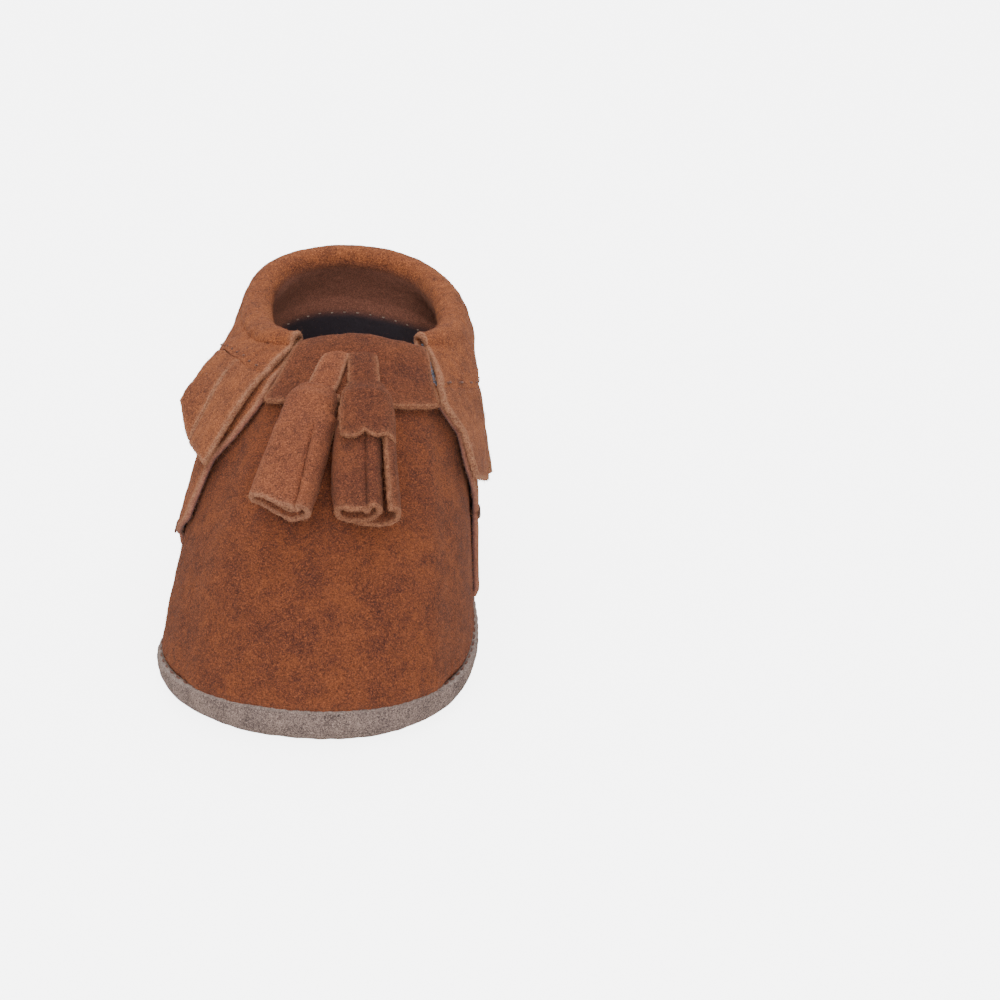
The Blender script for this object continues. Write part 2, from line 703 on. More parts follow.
def front_edge(length):
    """Points and normals of the right front edge, by length below the stitch line."""
    heights = np.linspace(float(stitch_height(QUARTER_START)), .25, 160)
    stations = right_front(heights) - .16 + .24 * np.exp(-(heights[0] - heights) / .05)
    points, normals = wall(stations, heights), wall_normal(stations, heights)
    run = run_along(points)
    return (read_line(length * .985, run, points),
            unit(read_line(length * .985, run, normals)))


def front_share(station):
    """Share of the right front edge in the shape: 1 at the edge, 0 past the first strip."""
    width = STRIP_EDGES[1] - STRIP_EDGES[0]
    return np.clip(1 - (station - STRIP_EDGES[0]) / width, 0, 1) ** 1.4


def hem_normals(station, front_normal):
    return unit(mix(-stitch_normal(station), -front_normal, front_share(station)[:, None]))


def make_quarter():
    """Build the quarter; return stations, points and normals of its casing stitches."""
    count, per_row = 300, 150
    stations = np.linspace(QUARTER_START, QUARTER_END, count)
    share = np.linspace(0, 1, count)
    top, out = spline(TOPLINE, stations), topline_out(stations)
    from_end = np.minimum(stations - QUARTER_START, QUARTER_END - stations)
    radius = ROLL_MID * (1 - .30 * ease((.9 - from_end) / .9))
    # up the wall
    heights = np.broadcast_to(np.linspace(0, .955, 90), (count, 90))
    wall_stations = mix(right_front(heights), left_front(heights), share[:, None])
    drop = (1 - heights) / (1 - stitch_height(stations)[:, None])
    rise = off_wall(wall_stations, heights, quarter_offset(drop))
    # over the roll
    angle = np.linspace(pi, 0, 34)[None, 1:, None]
    upright = np.array([0, 0, 1.])
    roll = top[:, None] + ((out[:, None] * np.cos(angle) + upright * np.sin(angle))
                           * radius[:, None, None])
    # down the casing to the stitch line
    hem = stitch_line(stations)
    front_points, front_normals = front_edge(np.zeros(1))
    front_shift = front_points[0] + front_normals[0] * FRINGE_LIFT - stitch_line(QUARTER_START)
    hem = hem + front_shift * front_share(stations)[:, None]
    roll_end = top + out * radius[:, None]
    part = np.linspace(0, 1, 30)[None, 1:, None]
    puff = (.75 + .25 * noise_at(stations * 9, 0, 0, 8, 51))[:, None, None]
    casing = (roll_end[:, None] * (1 - part) + hem[:, None] * part
              + out[:, None] * puff * .8 * np.sin(pi * part))
    points = resample(np.concatenate([rise, roll, casing], 1), per_row)

    run = run_along(points, 1)
    to_hem = run[:, -1:] - run
    normals = soft_normals(points, 3)
    pin_normals(normals, (-1, -2, -3), hem_normals(stations, front_normals[0]))
    arc = run_along(hem)[:, None]
    # soft gathers of the casing, and puffs between its stitches
    gathers = .22 * noise_at(arc / 2.6, 0, 0, 1, 61) + .25 * noise_at(arc / 5.5, 0, 0, 1, 62)
    puffs = .20 * np.abs(np.sin(pi * arc / STITCH_PITCH)) * bell(to_hem - 1.4, .8)
    seam_stations = mix(right_front(0), left_front(0), share)[:, None]
    bumps = (seam_pinch(seam_stations, run) * (run < 12) - bell(to_hem - 5, 5.0) * gathers
             - crease(to_hem) + puffs + .22 * noise(points, 15, 13) * (to_hem > 3)
             + .1 * noise(points, 6, 14) * np.clip(to_hem / 3, 0, 1))
    points = points + normals * bumps[..., None]
    sheet("vis_heel_quarter", points, HIDE, "suede_collar", body="shoe", square="j0 j1",
          raw="i0 i1", nap=.11, fuzz=8, fuzz_length=.5, extra=dict(dend=to_hem, d1=run),
          inner=.5 * ease((to_hem - 17.5) / 3) + .5 * ease((to_hem - 34) / 3),
          napped=-1, nap_density=.8, replaces="heel_quarter")

    # line of the stitches, 1.15 above the hem on the outer face
    column = per_row - 1 - 1.15 / (run[:, -1] / (per_row - 1))
    j = column.astype(int)
    part = (column - j)[:, None]
    normals = soft_normals(points, 2)
    face = points - normals * (HIDE / 2 + .04)
    i = np.arange(count)
    return stations, face[i, j] * (1 - part) + face[i, j + 1] * part, -normals[i, j]


# ---------------------------------------------------------------------------
# fringe: sixteen strips hanging from the stitch line, counted from the right front
# ---------------------------------------------------------------------------
TWIST = [1, -1, 1.5, -.5, 1, -1.5, .5, 1, -1, .5, -1, 1.2, -.6, .8, -.5, .8]
# lift of the tips of the strips that follow the wall
CURL = [.2, .9, .5, 1.2, .6, 1.1, .5, .9, 1.2, .6, .9]
FREE_FROM = 12    # the last strips, on the left side, hang free to placed tips
LAST_WALL_TIP = (read_wall(WALL_POINTS, STRIP_EDGES[11], STRIP_LENGTH)
                 + read_wall(WALL_NORMALS, STRIP_EDGES[11], STRIP_LENGTH) * 2.1)
# x, y, z of both tip corners of strips 12 to 16
FREE_TIPS = [(LAST_WALL_TIP + np.array([-.1, -1.2, .1]), (-28.5, 25, 29.5)),
             ((-28.5, 24.6, 29.8), (-30.3, 13.5, 35)),
             ((-30.3, 13, 35.5), (-31, 3, 40)),
             ((-31.8, .5, 47.1), (-30.2, -10.6, 43.5)),
             ((-30.2, -11.4, 43.2), (-26.4, -21.1, 43.6))]


def strip_cut(length, border, seed):
    """Opening and waviness of the slit at a strip border, as shares of the strip width."""
    if border in (0, 16):
        opening = ease(length / 2) * .01
    else:
        opening = (ease((length - 2.4) / 2.2) * (.020 + .020 * length / STRIP_LENGTH)
                   + ease(length - 2.4) * .008)
    waves = (noise_at(length, border * 7.3, 0, 4.5, 71) * .020 * ease((length - 2.4) / 3)
             + noise_at(length, border * 7.3, 0, 1.6, seed) * .010 * ease((length - 2.4) / 2))
    return opening, waves


def make_strip(number):
    rows, cols = 34, 62
    start, end = STRIP_EDGES[number - 1:number + 1]
    uneven = .5 * math.sin(number * 2.1) if number < 14 else 0
    length = np.linspace(0, STRIP_LENGTH + uneven, cols)
    share = np.linspace(0, 1, rows)[:, None]
    open_first, wave_first = strip_cut(length, number - 1, 73)
    open_last, wave_last = strip_cut(length, number, 72)
    cut_share = (open_first + wave_first) * (1 - share) + (1 - open_last + wave_last) * share
    stations = start + (end - start) * cut_share
    # a slightly slanted, uneven tip
    tip = (1 + .02 * noise_at(share * 3, number * 5.1, 0, 1, 73)
           + .015 * math.sin(number * 1.7) * (share - .5) * 2)
    drop = length * (1 + (tip - 1) * (length / STRIP_LENGTH) ** 4)
    twist = TWIST[number - 1] * .35 * (share - .5) * 2 * ease((drop - 3) / 14)
    cup = -.35 * (2 * share - 1) ** 2 * ease((drop - 4) / 12)
    if number < FREE_FROM:
        lift = (FRINGE_LIFT + .55 * ease((drop - 1.5) / 5)
                + CURL[number - 1] * ease((drop - 9) / 10) + twist + cup + crease(drop))
        points = (read_wall(WALL_POINTS, stations, drop)
                  + read_wall(WALL_NORMALS, stations, drop) * lift[..., None])
    else:
        first_tip, last_tip = (np.array(p, float) for p in FREE_TIPS[number - FREE_FROM])
        root = stitch_line(stations)
        ends = mix(first_tip, last_tip, cut_share[..., None])
        part = (drop / STRIP_LENGTH)[..., None]
        facing = -unit(np.cross(root[-1:] - root[:1], ends - root))
        facing = unit(mix(stitch_normal(stations), facing, np.minimum(1, 3 * part)))
        lift = (.7 * np.sin(pi * np.clip(part[..., 0], 0, 1)) + twist * .6 + cup + crease(drop)
                + .35 * noise_at(drop, cut_share * 6 + number, 0, 7, 74) * ease((drop - 4) / 8))
        points = mix(root, ends, part) + facing * lift[..., None]
    top_stations = stations[:, 0]
    top_normals = -stitch_normal(top_stations)
    if number == 1:
        # the first strip reaches over the front edge of the quarter
        front_points, front_normals = front_edge(length)
        front = front_points + front_normals * (FRINGE_LIFT + crease(length))[:, None]
        points = points + (front - points[0]) * front_share(stations)[..., None]
        top_normals = hem_normals(top_stations, front_normals[0])
    normals = soft_normals(points, 2)
    pin_normals(normals, (0, 1, 2), top_normals)
    # neighbours stay joined at the top of the slit
    opened = np.ones((rows, cols))
    if number > 1:
        opened[0] = ease((length - 2.3) / .8)
    if number < 16:
        opened[-1] = ease((length - 2.3) / .8)
    points = points + normals * (.25 * noise(points, 13, 15) * ease((drop - 1) / 4))[..., None]
    middle = points[rows // 2]
    along = unit(middle[14] - middle[0])
    sheet("vis_fringe_%02d" % number, points, 1.35, "suede_fringe", normals=normals, square="j0",
          raw="i0 i1 j1", nap=.11, fuzz=13, fuzz_length=.5, opened=opened, napped=1,
          blend=("shoe", "strip_%02d" % number, middle[0] + along * .8, middle[0] + along * 4.8),
          replaces="fringe_strip_%02d" % number)


# ---------------------------------------------------------------------------
# throat flap: the vamp top folded over
# ---------------------------------------------------------------------------
FLAP_TOP, FLAP_LOW = .98, .874    # wall heights
# section of the fold: distance up the wall from FLAP_TOP, offset outward
FLAP_SECTION = [(-3.2, -1.25), (-1.8, -1.3), (-.2, -1.1), (1.3, -.4), (2.1, .8),
                (1.9, 2.1), (.8, 2.95), (-.8, 3.05), (-2.5, 2.5), (-4.4, 1.85),
                (-6.6, 1.4), (-9, 1.2), (-11.2, 1.15), (-13, 1.2)]


def make_flap():
    per_row = 110
    across_share = np.linspace(-1, 1, 170)[:, None]
    rise, out = catmull(FLAP_SECTION, per_row).T
    # the half width grows downward
    down = np.clip((.5 - rise) / 13.5, 0, 1)
    stations = across_share * np.where(across_share < 0, mix(1.42, 1.66, down),
                                       mix(1.80, 1.95, down))
    drop = -rise / 13 * (.955 - .045 * np.maximum(across_share, 0) ** 1.5)
    downward = unit(wall(stations, FLAP_LOW) - wall(stations, FLAP_TOP))
    heights = FLAP_TOP - (FLAP_TOP - FLAP_LOW) * np.clip(drop, 0, 1.3)
    end = ease((np.abs(across_share) - .86) / .14)
    offset = (out * (1 - .45 * end * (out < 0))
              - np.clip(out - 1.1, 0, 9) * .55 * np.abs(across_share) ** 2.5)
    points = off_wall(stations, heights, offset) - downward * np.clip(rise, 0, None)[:, None]
    points = resample(points, per_row)
    slack = ((.22 * noise(points, 7, 17) + .12 * noise(points, 3.2, 18))
             * np.clip(run_along(points, 1) / 3, 0, 1))
    points = points - soft_normals(points, 3) * slack[..., None]
    sheet("vis_throat_flap", points, 1.3, "suede_fold", nap=.12, fuzz=15, napped=-1,
          nap_density=1.1, replaces="throat_flap",
          blend=("shoe", "flap", off_wall(.1, .95, -1.3), off_wall(.1, .955, 1.4)))


# ---------------------------------------------------------------------------
# thongs and rolled tassels
# ---------------------------------------------------------------------------
TASSEL_SLOTS = dict(left="suede_tassel", right="suede_fold")


def tassel_frame(top, bottom, outward):
    """Origin, direction toward +X, direction off the vamp and direction down the tassel."""
    along = unit(bottom - top)
    aside = unit(np.cross(outward, along))
    return top, aside, np.cross(along, aside), along


TASSEL_FRAMES = dict(
    left=tassel_frame(off_wall(-.42, .862, 6.1), off_wall(-.8, .60, 5.5), wall_normal(-.6, .74)),
    right=tassel_frame(off_wall(.3, .862, 6.1), off_wall(.42, .595, 5.5), wall_normal(.36, .74)))


def make_thong(side, start, end, top_width, low_width):
    """Strap over the fold, from one vamp station to another, into the tassel."""
    rows, cols = 22, 60
    origin, aside, out, along = TASSEL_FRAMES[side]
    line = catmull([
        off_wall(start, .975, .9), off_wall(start, .968, 2.0), off_wall(start, .955, 2.95),
        off_wall(mix(start, end, .35), .938, 3.05), off_wall(mix(start, end, .7), .91, 2.9),
        off_wall(end, .885, 3.4), origin - out * 1.4 - along * 1.2,
        origin - out + along * .6, origin - out * .6 + along * 2.0], cols)
    part = np.linspace(0, 1, cols)
    level = unit(wall(start + .05, .93) - wall(start - .05, .93))
    level = unit(mix(level, aside, ease((part - .35) / .5)[:, None]))
    width = mix(top_width, low_width, ease(part * 1.3))
    width = width * (1 + .03 * noise_at(part * 9, 0, 0, 1, 81))
    place = np.linspace(-.5, .5, rows)
    points = line + level * (place[:, None] * width)[..., None]
    normals = soft_normals(points, 3)
    cup = -.35 * (2 * place) ** 2
    points = points + normals * cup[:, None, None] * np.sign((normals * out).sum(-1).mean())
    sheet("vis_thong_" + side, points, 1.25, TASSEL_SLOTS[side], raw="i0 i1", fuzz=11,
          fuzz_length=.4, napped=1, replaces="thong_" + side,
          blend=("flap", "thong_%s_body" % side,
                 off_wall(start, .975, 1.2), off_wall(start, .955, 2.6)))


# In tassel points x runs toward +X, y off the vamp and z down the tassel.
def tube_grid(sections, levels, count):
    """Open tube blended between sections, a list of (z, x-y points)."""
    curves = [catmull(section, count) for _, section in sections]
    depths = [z for z, _ in sections]
    points = np.zeros((count, len(levels), 3))
    for j, z in enumerate(levels):
        k = int(np.clip(np.searchsorted(depths, z) - 1, 0, len(depths) - 2))
        part = ease((z - depths[k]) / (depths[k + 1] - depths[k]))
        points[:, j, :2] = mix(curves[k], curves[k + 1], part)
        points[:, j, 2] = z
    return points


def raise_ridge(points, middle, height, width, growth=1, above=0):
    """Lift a band of the upper face; a negative height cuts a groove."""
    x, y = points[..., 0], points[..., 1]
    points[..., 1] += height * bell(x - middle, width) * growth * (y > above)


def rag_end(points, start, run, seed, wave=0, pitch=.5, phase=0, rough=.3, size=2.0, shift=0):
    """Wave and roughen the lower end, beginning at depth start."""
    x, z = points[..., 0], points[..., 2]
    ragged = wave * np.sin(x * pitch + phase) + rough * noise(points, size, seed) + shift
    points[..., 2] = z + ease((z - start) / run) * ragged


def ripple(points, large, small, seed):
    """Push a surface in and out; large and small are (amount, patch size)."""
    bumps = large[0] * noise(points, large[1], seed) + small[0] * noise(points, small[1], seed + 1)
    return points + soft_normals(points, 2) * bumps[..., None]


def place_tassel(side, points):
    origin, aside, out, along = TASSEL_FRAMES[side]
    return origin + points[..., :1] * aside + points[..., 1:2] * out + points[..., 2:3] * along


def tassel_sheet(side, part, points, thickness, **look):
    sheet("vis_tassel_%s_%s" % (side, part), points, thickness, TASSEL_SLOTS[side],
          body="tassel_%s_body" % side, jag=.25, nap_density=1.1, **look)


def left_wrap():
    """Smooth wrap with a groove on its right side, closed to a dome at the top."""
    ring = np.array([(-.3, -3.2), (-3.6, -3.1), (-5.7, -1.9), (-6.35, .2), (-5.6, 2.3),
                     (-3.2, 3.45), (0, 3.75), (3.0, 3.6), (5.2, 2.7), (6.05, .6),
                     (5.4, -1.7), (3.0, -3.0), (.1, -3.2)])
    bottom = ring * (1.03, .88)
    bottom[:, 0] += np.where(ring[:, 0] > 0, .2, -.2)
    levels = np.concatenate([np.linspace(-1.5, 2, 16)[:-1], np.linspace(2, 25.3, 96)])
    points = tube_grid([(-1.5, ring * (.60, .24) - (0, .8)), (-.6, ring * (.80, .66) - (0, .4)),
                        (2.4, ring * (.80, .92)), (11, ring), (25.3, bottom)], levels, 150)
    x, z = points[..., 0], points[..., 2]
    half_width = np.abs(x).max(0)[None, :]
    left = np.interp(z, [-1.5, -.6, 1, 3, 6.5, 11.5, 22.6, 25.3],
                     [-3.4, -4.6, -5.5, -5.9, -5.8, -6.0, -6.2, -5.9])
    right = np.interp(z, [-1.5, -.6, 1, 3, 5, 11.5, 18, 24.7],
                      [1.4, 2.4, 3.3, 3.8, 4.2, 5.4, 5.9, 6.5])
    points[..., 0] = (left + right) / 2 + x / half_width * (right - left) / 2
    # the groove, the roll standing proud beside it and the flattened panel
    raise_ridge(points, 2.3 + (z - 9) * .115, height=-1.7, width=.42,
                growth=ease((z - 7.6) / 2.5), above=.4)
    raise_ridge(points, 3.7 + (z - 9) * .1, height=.55, width=1.1, growth=ease((z - 8) / 4))
    raise_ridge(points, -1.5, height=-.35, width=2.4, growth=ease((z - 8) / 6))
    points[..., 0] += .2 * noise_at(0, 0, z, 6, 92) * ease(z / 10)
    rag_end(points, 20, 5, seed=93, wave=.7, pitch=.45, phase=.6, rough=.35, size=2.2)
    points = ripple(place_tassel("left", points), large=(.16, 5.5), small=(.10, 2.6), seed=94)
    tassel_sheet("left", "wrap", points, 1.25, raw="j1", fuzz=13, napped=1,
                 replaces="tassel_cap_left")


def left_roll():
    """Spiral inside the left wrap."""
    spiral = np.array([
        (4.7, -.2), (4.1, 1.7), (2.6, 2.4), (.5, 2.5), (-2.6, 2.3), (-4.6, 1.0),
        (-4.5, -1.0), (-2.4, -1.95), (1.0, -2.05), (3.5, -1.4), (3.8, .2), (2.4, 1.2),
        (0, 1.35), (-2.3, 1.1), (-3.2, .1), (-2.4, -.8)])
    points = tube_grid([(5, spiral), (24.4, spiral * (1.02, .9))], np.linspace(5, 24.4, 60), 170)
    rag_end(points, 20, 5, seed=96, wave=.7, pitch=.45, phase=.6, rough=.5, shift=-.4)
    tassel_sheet("left", "roll", place_tassel("left", points), 1.0, raw="i0 i1 j1", nap=.08,
                 fuzz=12, fuzz_length=.5, replaces="tassel_roll_left")


def right_roll():
    """Grooved roll seen below the right cap."""
    ring = np.array([(-1.4, -2.55), (-3.8, -2.4), (-5.05, -1.2), (-5.2, .6), (-4.4, 2.15),
                     (-2.4, 2.7), (-.2, 2.75), (1.2, 2.95), (2.3, 2.7), (2.9, 1.3),
                     (2.85, -.9), (1.6, -2.3), (-1.0, -2.6)])
    points = tube_grid([(5, ring * (.85, .95)), (10, ring), (25.2, ring * (1, .97) - (.1, 0))],
                       np.linspace(5, 25.2, 96), 150)
    x, z = points[..., 0], points[..., 2]
    raise_ridge(points, .28, height=-1.9, width=.36, growth=ease((z - 5.0) / 2.5), above=.4)
    raise_ridge(points, 1.7, height=.35, width=.9)
    narrowing = .55 * np.sin(pi * np.clip((z - 9) / 18, 0, 1)) * (x < -1)
    points[..., 0] += .18 * noise_at(0, 0, z, 6, 97) - narrowing
    rag_end(points, 21, 4, seed=98, wave=.5, phase=2.2)
    points = ripple(place_tassel("right", points), large=(.12, 5), small=(.08, 2.4), seed=99)
    tassel_sheet("right", "roll", points, 1.2, raw="j1", fuzz=13, fuzz_length=.5, napped=1,
                 replaces="tassel_roll_right")


def right_core():
    """Spiral inside the right roll."""
    spiral = [(1.7, 1.5), (1.75, -.3), (.4, -1.3), (-1.8, -1.4), (-3.7, -.7),
              (-3.75, .5), (-2.7, 1.3), (-1.3, 1.35), (.1, .9), (.45, .1)]
    points = tube_grid([(6, spiral), (24.3, spiral)], np.linspace(6, 24.3, 50), 110)
    rag_end(points, 20, 5, seed=101, rough=.5, shift=-.5)
    tassel_sheet("right", "core", place_tassel("right", points), .95, raw="i0 i1 j1", nap=.08,
                 fuzz=12, fuzz_length=.45)


def right_layer():
    """Open layer under and to the right of the right roll."""
    arc = np.array([(-3.6, -3.75), (-1.0, -4.0), (2.0, -4.0), (4.6, -3.5), (5.8, -2.0),
                    (6.0, .2), (5.5, 2.1), (4.35, 2.95)])
    points = tube_grid([(3, arc * (.93, 1)), (12, arc), (25.6, arc * (1.06, .95) + (.15, 0))],
                       np.linspace(3, 25.6, 84), 80)
    rag_end(points, 21, 4, seed=102, wave=.5)
    points[..., 1] += .3 * noise_at(0, 0, points[..., 2], 4, 103) * (points[..., 0] > 4)
    tassel_sheet("right", "layer", place_tassel("right", points), 1.15, raw="i0 i1 j1",
                 fuzz=14, napped=1)


def right_cap():
    """Domed cap over the top of the right tassel, with a scalloped lower edge."""
    ring = np.array([(-2.6, -3.9), (1.0, -4.1), (4.2, -3.7), (5.75, -2.1), (6.0, .4),
                     (5.6, 2.7), (4.2, 4.0), (2.0, 4.45), (-.6, 4.4), (-3.0, 3.9), (-4.1, 3.2)])
    levels = np.concatenate([np.linspace(-2.2, 1.2, 14)[:-1], np.linspace(1.2, 10.2, 50)])
    points = tube_grid([(-2.2, ring * (.44, .26) + (.5, -.2)), (-1.4, ring * (.66, .70) + (.35, -.1)),
                        (1.4, ring * (.90, .95) + (.15, 0)), (5, ring), (10.2, ring)], levels, 110)
    x, y, z = np.moveaxis(points, -1, 0)
    scallops = 1.2 * np.abs(np.sin((x - .2) * .62)) - .9 + .3 * noise(points, 1.8, 104)
    low = np.where(y > 0, scallops, .3) + 1.2 * ease((x - 4.3) / 1.2)
    points[..., 2] = z + ease((z - 6) / 4.2) * low
    points = ripple(place_tassel("right", points), large=(.12, 5), small=(.08, 2.4), seed=105)
    tassel_sheet("right", "cap", points, 1.15, raw="i0 i1 j1", fuzz=14, fuzz_length=.5, napped=1,
                 replaces="tassel_cap_right")


# ---------------------------------------------------------------------------
# elastic
# ---------------------------------------------------------------------------
def make_elastic():
    cols = 26
    stations = np.linspace(QUARTER_START + .03, QUARTER_END - .03, 520)
    out = topline_out(stations)
    roll = spline(TOPLINE, stations) + out * ROLL_MID
    down = np.linspace(.02, .02 + 6.5 / CASING_WIDTH, cols)[None, :, None]
    out = out[:, None]
    ribs = .12 * np.sin(np.arange(cols) / (cols - 1) * 2 * pi * 6)[None, :, None]
    points = (roll[:, None] * (1 - down) + stitch_line(stations)[:, None] * down
              - out * mix(ROLL_MID, .75, down) + out * ribs)
    sheet("vis_elastic", points, .8, "elastic", body="shoe", raw="", nap=.02,
          normals=np.broadcast_to(-out, points.shape), replaces="elastic_band")


def make_elastic_end():
    """End of the band beside the throat flap, on the right side."""
    stations, heights = np.linspace(1.86, 2.34, 44)[:, None], np.linspace(.925, .988, 30)
    ribs = .10 * np.sin(np.linspace(0, 2 * pi * 4, 30))
    sheet("vis_elastic_end_right", off_wall(stations, heights, .12 + ribs), .8, "elastic",
          body="shoe", raw="", nap=.03)


# ---------------------------------------------------------------------------
# threads
# ---------------------------------------------------------------------------
def stitch(start, end, normal, radius, rise):
    """Rings of one arched stitch, thinner at its ends."""
    part = np.linspace(0, 1, 9)
    line = (start + (end - start) * part[:, None] + normal * (np.sin(pi * part) * rise)[:, None]
            - normal * rise * .35)
    radii = radius * np.sqrt(np.clip(1 - (2 * part - 1) ** 2, .08, 1)) ** .6
    along = unit(np.gradient(line, axis=0))
    side = unit(np.cross(along, np.array([.001, .001, 1.001])))
    other = np.cross(side, along)
    angle = (np.arange(8) * 2 * pi / 8)[None, :, None]
    return line[:, None] + ((side[:, None] * np.cos(angle) + other[:, None] * np.sin(angle))
                            * radii[:, None, None])


def make_casing_stitches(cuff):
    """Stitches on the cuff and those between them inside the wall."""
    def inside(station):
        height = stitch_height(station) - .075
        return across(station, height), height

    knots, cuff_points, cuff_normals = cuff
    fine = np.linspace(QUARTER_START, QUARTER_END, 600)
    arc = run_along(stitch_line(fine))
    stations = np.interp(np.arange(1.6, arc[-1] - 1, STITCH_PITCH), arc, fine)
    step = .9 / STITCH_PITCH * (stations[1] - stations[0])
    inner, outer = [], []
    for station in stations:
        ends = [read_line(station + side * step * .55, knots, cuff_points) for side in (-1, 1)]
        normal = unit(read_line(station, knots, cuff_normals))
        outer.append(stitch(*ends, normal, radius=.22, rise=.16))
        start, end = station + step * 1.2, station + step * 2.4
        if end <= QUARTER_END - .05:
            inner.append(stitch(off_wall(*inside(start), -.08), off_wall(*inside(end), -.08),
                                wall_normal(*inside(station)), radius=.15, rise=-.16))
    join_rings("vis_casing_stitches", outer, "thread_dark", replaces="casing_stitches")
    join_rings("vis_casing_stitches_inside", inner, "thread_inside")


def make_seam_stitches():
    """Short stitches sunk in the groove of the sole seam."""
    stitches = []
    for k in range(SEAM_STITCHES):
        stations = [(k + part) * STATIONS / SEAM_STITCHES for part in (.15, .75)]
        ends = [np.r_[inset(station, .8), spline(SEAM, station) - .05] for station in stations]
        normal = np.r_[sole_side(sum(stations) / 2), 0]
        stitches.append(stitch(*ends, normal, radius=.22, rise=.15))
    join_rings("vis_sole_seam_stitches", stitches, "thread_dark", replaces="sole_seam_stitches")


def make_tack(name, station):
    """Three short stitches, one under the other, on the side wall."""
    stitches = []
    for k in range(3):
        height = .42 - .012 * k
        stitches.append(stitch(off_wall(station, height, 1.0), off_wall(station + .24, height, 1.0),
                               wall_normal(station + .12, height), radius=.26, rise=.25))
    join_rings("vis_" + name, stitches, "thread_dark", replaces=name)


# ---------------------------------------------------------------------------
# materials
# ---------------------------------------------------------------------------
def srgb(red, green, blue):
    def linear(value):
        value = value / 255
        return value / 12.92 if value <= .04045 else ((value + .055) / 1.055) ** 2.4
    return linear(red), linear(green), linear(blue), 1


def shade(colour, factor):
    return tuple(min(1, value * factor) for value in colour[:3]) + (1,)


class Shader:
    """A node material; methods add a node and return its first output."""

    def __init__(self, name):
        self.material = bpy.data.materials.new(name)
        self.material.use_nodes = True
        self.tree = self.material.node_tree
        self.tree.nodes.clear()

    def node(self, kind, inputs=None, **settings):
        node = self.tree.nodes.new(kind)
        for key, value in settings.items():
            setattr(node, key, value)
        for key, value in (inputs or {}).items():
            if isinstance(value, bpy.types.NodeSocket):
                self.tree.links.new(value, node.inputs[key])
            else:
                node.inputs[key].default_value = value
        return node

    def attribute(self, name, output="Fac"):
        return self.node("ShaderNodeAttribute", attribute_name=name).outputs[output]

    def noise(self, vector, scale, detail=3, rough=.55, distortion=0.0):
        return self.node("ShaderNodeTexNoise", {
            "Vector": vector, "Scale": scale, "Detail": detail, "Roughness": rough,
            "Distortion": distortion}).outputs[0]

    def ramp(self, value, start, end, low=0.0, high=1.0):
        """Map start..end to low..high, clamped."""
        return self.node("ShaderNodeMapRange", {
            "Value": value, "From Min": start, "From Max": end,
            "To Min": low, "To Max": high}, clamp=True).outputs[0]

    def mix(self, factor, first, second):
        return self.node("ShaderNodeMix", {0: factor, 6: first, 7: second},
                         data_type='RGBA').outputs[2]

    def math(self, operation, first, second):
        return self.node("ShaderNodeMath", {0: first, 1: second}, operation=operation).outputs[0]

    def multiply(self, first, second):
        return self.math('MULTIPLY', first, second)

    def vector_math(self, operation, first, second):
        return self.node("ShaderNodeVectorMath", {0: first, 1: second},
                         operation=operation).outputs[0]

    def bump(self, height, strength, distance):
        return self.node("ShaderNodeBump", {"Strength": strength, "Distance": distance,
                                            "Height": height}).outputs[0]

    def finish(self, inputs):
        surface = self.node("ShaderNodeBsdfPrincipled", inputs).outputs[0]
        self.node("ShaderNodeOutputMaterial", {0: surface})
        return self.material


